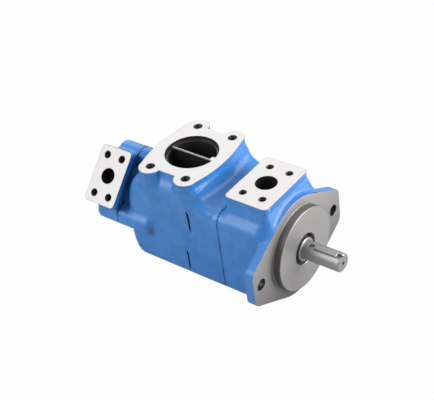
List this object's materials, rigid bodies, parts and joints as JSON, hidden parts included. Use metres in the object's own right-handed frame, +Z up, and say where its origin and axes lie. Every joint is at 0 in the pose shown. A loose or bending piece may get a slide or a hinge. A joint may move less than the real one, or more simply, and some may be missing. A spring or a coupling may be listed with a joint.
{
  "type": "hydraulic vane pump",
  "caption": "Double vane pump: a keyed shaft drives vane cartridges in a three-piece cast housing with flanged inlet and outlet ports and a two-bolt mounting flange.",
  "frame": {"origin": "centre of the mounting face, on the shaft axis", "axes": "+X out along the drive shaft, +Z up towards the inlet port, Y along the two mounting ears"},
  "size_m": [0.3167, 0.174, 0.1486],
  "materials": {
    "blue_paint": "semi-gloss paint over cast iron; port faces, flange face and pilot are machined bare",
    "ground_steel": "ground",
    "key_steel": "drawn",
    "spring_steel": "dark tempered",
    "seal_case_steel": "black coated",
    "seal_rubber": "matt",
    "bearing_steel": "polished",
    "cage_brass": "machined",
    "black_screws": "black oxide",
    "plate_bronze": "lapped",
    "plate_iron": "ground faces"
  },
  "bodies": {
    "housing": {"front_body": "blue_paint", "inlet_body": "blue_paint", "rear_cover": "blue_paint", "shaft_seal_case": "seal_case_steel", "shaft_seal_lip": "seal_rubber", "seal_garter_spring": "spring_steel", "bearing_retaining_ring": "spring_steel", "front_bearing_outer_race": "bearing_steel", "rear_bearing_outer_ring": "bearing_steel", "front_joint_seal": "seal_rubber", "rear_joint_seal": "seal_rubber", "front_joint_screws": "black_screws", "rear_cover_screws": "black_screws", "locating_pins": "ground_steel", "front_cam_ring": "ground_steel", "front_outlet_side_plate": "plate_bronze", "front_inlet_side_plate": "plate_bronze", "front_outlet_support_plate": "plate_iron", "front_inlet_support_plate": "plate_iron", "front_hub_seal": "seal_rubber", "front_cartridge_screws": "black_screws", "rear_cam_ring": "ground_steel", "rear_outlet_side_plate": "plate_bronze", "rear_inlet_side_plate": "plate_bronze", "rear_outlet_support_plate": "plate_iron", "rear_inlet_support_plate": "plate_iron", "rear_hub_seal": "seal_rubber", "rear_cartridge_screws": "black_screws"},
    "shaft": {"drive_shaft": "ground_steel", "shaft_key": "key_steel", "shaft_snap_ring": "spring_steel", "front_bearing_inner_race": "bearing_steel", "front_rotor": "ground_steel", "rear_rotor": "ground_steel", "front_vane_inserts": "ground_steel", "rear_vane_inserts": "ground_steel"},
    "front_ball_set": {"front_bearing_balls": "bearing_steel", "front_bearing_cage": "cage_brass"},
    "rear_roller_set": {"rear_bearing_rollers": "bearing_steel"},
    "front_vane_01": {"front_vane_01": "ground_steel"},
    "front_vane_02": {"front_vane_02": "ground_steel"},
    "front_vane_03": {"front_vane_03": "ground_steel"},
    "front_vane_04": {"front_vane_04": "ground_steel"},
    "front_vane_05": {"front_vane_05": "ground_steel"},
    "front_vane_06": {"front_vane_06": "ground_steel"},
    "front_vane_07": {"front_vane_07": "ground_steel"},
    "front_vane_08": {"front_vane_08": "ground_steel"},
    "front_vane_09": {"front_vane_09": "ground_steel"},
    "front_vane_10": {"front_vane_10": "ground_steel"},
    "rear_vane_01": {"rear_vane_01": "ground_steel"},
    "rear_vane_02": {"rear_vane_02": "ground_steel"},
    "rear_vane_03": {"rear_vane_03": "ground_steel"},
    "rear_vane_04": {"rear_vane_04": "ground_steel"},
    "rear_vane_05": {"rear_vane_05": "ground_steel"},
    "rear_vane_06": {"rear_vane_06": "ground_steel"},
    "rear_vane_07": {"rear_vane_07": "ground_steel"},
    "rear_vane_08": {"rear_vane_08": "ground_steel"},
    "rear_vane_09": {"rear_vane_09": "ground_steel"},
    "rear_vane_10": {"rear_vane_10": "ground_steel"}
  },
  "joints": [
    {"name": "shaft_spin", "type": "hinge", "parent": "housing", "child": "shaft", "pos_m": [0, 0, 0], "axis": [1, 0, 0], "continuous": true},
    {"name": "front_ball_set_spin", "type": "hinge", "parent": "housing", "child": "front_ball_set", "pos_m": [-0.015, 0, 0], "axis": [1, 0, 0], "continuous": true},
    {"name": "rear_roller_set_spin", "type": "hinge", "parent": "housing", "child": "rear_roller_set", "pos_m": [-0.245, 0, 0], "axis": [1, 0, 0], "continuous": true},
    {"name": "front_vane_01_slide", "type": "slide", "parent": "shaft", "child": "front_vane_01", "axis": [0, 0.9511, 0.309], "range_m": [-0.0008, 0.00038]},
    {"name": "front_vane_02_slide", "type": "slide", "parent": "shaft", "child": "front_vane_02", "axis": [0, 0.5878, 0.809], "range_m": [-0.0008, 0.0029]},
    {"name": "front_vane_03_slide", "type": "slide", "parent": "shaft", "child": "front_vane_03", "axis": [0, 0, 1], "range_m": [-0.0008, 0.00445]},
    {"name": "front_vane_04_slide", "type": "slide", "parent": "shaft", "child": "front_vane_04", "axis": [0, -0.5878, 0.809], "range_m": [-0.0008, 0.0029]},
    {"name": "front_vane_05_slide", "type": "slide", "parent": "shaft", "child": "front_vane_05", "axis": [0, -0.9511, 0.309], "range_m": [-0.0008, 0.00038]},
    {"name": "front_vane_06_slide", "type": "slide", "parent": "shaft", "child": "front_vane_06", "axis": [0, -0.9511, -0.309], "range_m": [-0.0008, 0.00038]},
    {"name": "front_vane_07_slide", "type": "slide", "parent": "shaft", "child": "front_vane_07", "axis": [0, -0.5878, -0.809], "range_m": [-0.0008, 0.0029]},
    {"name": "front_vane_08_slide", "type": "slide", "parent": "shaft", "child": "front_vane_08", "axis": [0, 0, -1], "range_m": [-0.0008, 0.00445]},
    {"name": "front_vane_09_slide", "type": "slide", "parent": "shaft", "child": "front_vane_09", "axis": [0, 0.5878, -0.809], "range_m": [-0.0008, 0.0029]},
    {"name": "front_vane_10_slide", "type": "slide", "parent": "shaft", "child": "front_vane_10", "axis": [0, 0.9511, -0.309], "range_m": [-0.0008, 0.00038]},
    {"name": "rear_vane_01_slide", "type": "slide", "parent": "shaft", "child": "rear_vane_01", "axis": [0, 0.9511, 0.309], "range_m": [-0.0008, 0.00028]},
    {"name": "rear_vane_02_slide", "type": "slide", "parent": "shaft", "child": "rear_vane_02", "axis": [0, 0.5878, 0.809], "range_m": [-0.0008, 0.00224]},
    {"name": "rear_vane_03_slide", "type": "slide", "parent": "shaft", "child": "rear_vane_03", "axis": [0, 0, 1], "range_m": [-0.0008, 0.00345]},
    {"name": "rear_vane_04_slide", "type": "slide", "parent": "shaft", "child": "rear_vane_04", "axis": [0, -0.5878, 0.809], "range_m": [-0.0008, 0.00224]},
    {"name": "rear_vane_05_slide", "type": "slide", "parent": "shaft", "child": "rear_vane_05", "axis": [0, -0.9511, 0.309], "range_m": [-0.0008, 0.00028]},
    {"name": "rear_vane_06_slide", "type": "slide", "parent": "shaft", "child": "rear_vane_06", "axis": [0, -0.9511, -0.309], "range_m": [-0.0008, 0.00028]},
    {"name": "rear_vane_07_slide", "type": "slide", "parent": "shaft", "child": "rear_vane_07", "axis": [0, -0.5878, -0.809], "range_m": [-0.0008, 0.00224]},
    {"name": "rear_vane_08_slide", "type": "slide", "parent": "shaft", "child": "rear_vane_08", "axis": [0, 0, -1], "range_m": [-0.0008, 0.00345]},
    {"name": "rear_vane_09_slide", "type": "slide", "parent": "shaft", "child": "rear_vane_09", "axis": [0, 0.5878, -0.809], "range_m": [-0.0008, 0.00224]},
    {"name": "rear_vane_10_slide", "type": "slide", "parent": "shaft", "child": "rear_vane_10", "axis": [0, 0.9511, -0.309], "range_m": [-0.0008, 0.00028]}
  ],
  "couplings": [
    {"joint": "front_ball_set_spin", "follows": "shaft_spin", "ratio": 0.39647},
    {"joint": "rear_roller_set_spin", "follows": "shaft_spin", "ratio": 0.43506}
  ]
}
